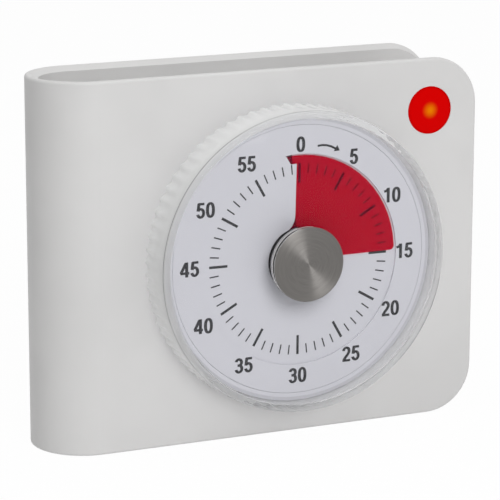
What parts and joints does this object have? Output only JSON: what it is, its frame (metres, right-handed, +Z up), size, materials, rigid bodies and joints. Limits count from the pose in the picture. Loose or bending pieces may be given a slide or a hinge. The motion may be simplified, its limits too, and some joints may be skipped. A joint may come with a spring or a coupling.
{
  "type": "visual countdown timer",
  "caption": "Free-standing countdown timer: folded-sheet housing, raised dial under a clear turning cap, red film disc that winds through a slit, alarm lamp.",
  "frame": {"origin": "bottom centre of the bounding box", "axes": "+Z up, -Y towards the viewer who reads the dial, +X to that viewer's right"},
  "size_m": [0.158, 0.0556, 0.127],
  "materials": {
    "housing_white": "satin moulded white",
    "frame_white": "plain moulded white",
    "dial_white": "smooth matt white",
    "clear_plastic": "polished clear",
    "spun_steel": "turned in fine rings",
    "black_plastic": "plain black",
    "steel": "bright zinc",
    "brass": "turned",
    "red_film": "smooth dyed film",
    "red_lens": "glossy red, lets light through",
    "led_resin": "tinted clear resin",
    "works_plastic": "plain moulded grey",
    "wheel_plastic": "smooth natural acetal",
    "copper_wire": "wound enamelled wire",
    "board_green": "lacquered board",
    "nickel": "nickel plated",
    "battery_jacket": "printed sleeve, bare",
    "lead_red": "insulated wire",
    "lead_black": "insulated wire"
  },
  "bodies": {
    "housing": {"housing_shell": "housing_white", "inner_frame": "frame_white", "dial_drum": "dial_white", "dial_plate": "dial_white", "spindle_bush": "brass", "alarm_lens": "red_lens", "lamp_holder": "frame_white", "alarm_led": "led_resin", "works_case": "works_plastic", "works_cover": "works_plastic", "stator": "steel", "drive_coil": "copper_wire", "circuit_board": "board_green", "controller_chip": "black_plastic", "crystal_can": "nickel", "switch_body": "nickel", "sounder": "black_plastic", "battery_tray": "frame_white", "batteries": "battery_jacket", "battery_springs": "nickel", "battery_contacts": "nickel", "frame_screws": "steel", "drum_screws": "steel", "works_screws": "steel", "board_screws": "steel", "lamp_lead": "lead_red", "battery_lead": "lead_black"},
    "dial": {"clear_cap": "clear_plastic", "knob_face": "spun_steel", "turning_hub": "black_plastic", "hub_screw": "steel", "spindle": "steel", "spindle_clip": "steel", "clutch_spring": "steel", "centre_wheel": "brass"},
    "film": {"red_film": "red_film"},
    "intermediate": {"intermediate_wheel": "wheel_plastic"},
    "third": {"third_wheel": "wheel_plastic"},
    "rotor": {"rotor": "steel"},
    "slider": {"sound_slider": "works_plastic"},
    "door": {"battery_door": "housing_white"}
  },
  "joints": [
    {"name": "dial_turn", "type": "hinge", "parent": "housing", "child": "dial", "pos_m": [0.0068, 0, 0.0632], "axis": [0, 1, 0], "range_deg": [-90, 270]},
    {"name": "film_feed", "type": "slide", "parent": "dial", "child": "film", "axis": [0, -1, 0], "range_m": [-0.00025, 0.00075]},
    {"name": "intermediate_spin", "type": "hinge", "parent": "housing", "child": "intermediate", "pos_m": [-0.00481, 0, 0.07481], "axis": [0, 1, 0], "range_deg": [-1620, 540]},
    {"name": "third_spin", "type": "hinge", "parent": "housing", "child": "third", "pos_m": [0.00857, 0, 0.07916], "axis": [0, 1, 0], "range_deg": [-2700, 8100]},
    {"name": "rotor_spin", "type": "hinge", "parent": "housing", "child": "rotor", "pos_m": [0.01695, 0, 0.07611], "axis": [0, 1, 0], "range_deg": [-30375, 10125]},
    {"name": "sound_switch", "type": "slide", "parent": "housing", "child": "slider", "axis": [0, 0, 1], "range_m": [-0.002, 0.002]},
    {"name": "door_swing", "type": "hinge", "parent": "housing", "child": "door", "pos_m": [0.0068, 0.0265, 0.00885], "axis": [-1, 0, 0], "range_deg": [0, 90]}
  ],
  "couplings": [
    {"joint": "film_feed", "follows": "dial_turn", "m_per_rad": 0.00015915},
    {"joint": "intermediate_spin", "follows": "dial_turn", "ratio": -6},
    {"joint": "third_spin", "follows": "dial_turn", "ratio": 30},
    {"joint": "rotor_spin", "follows": "dial_turn", "ratio": -112.5}
  ]
}
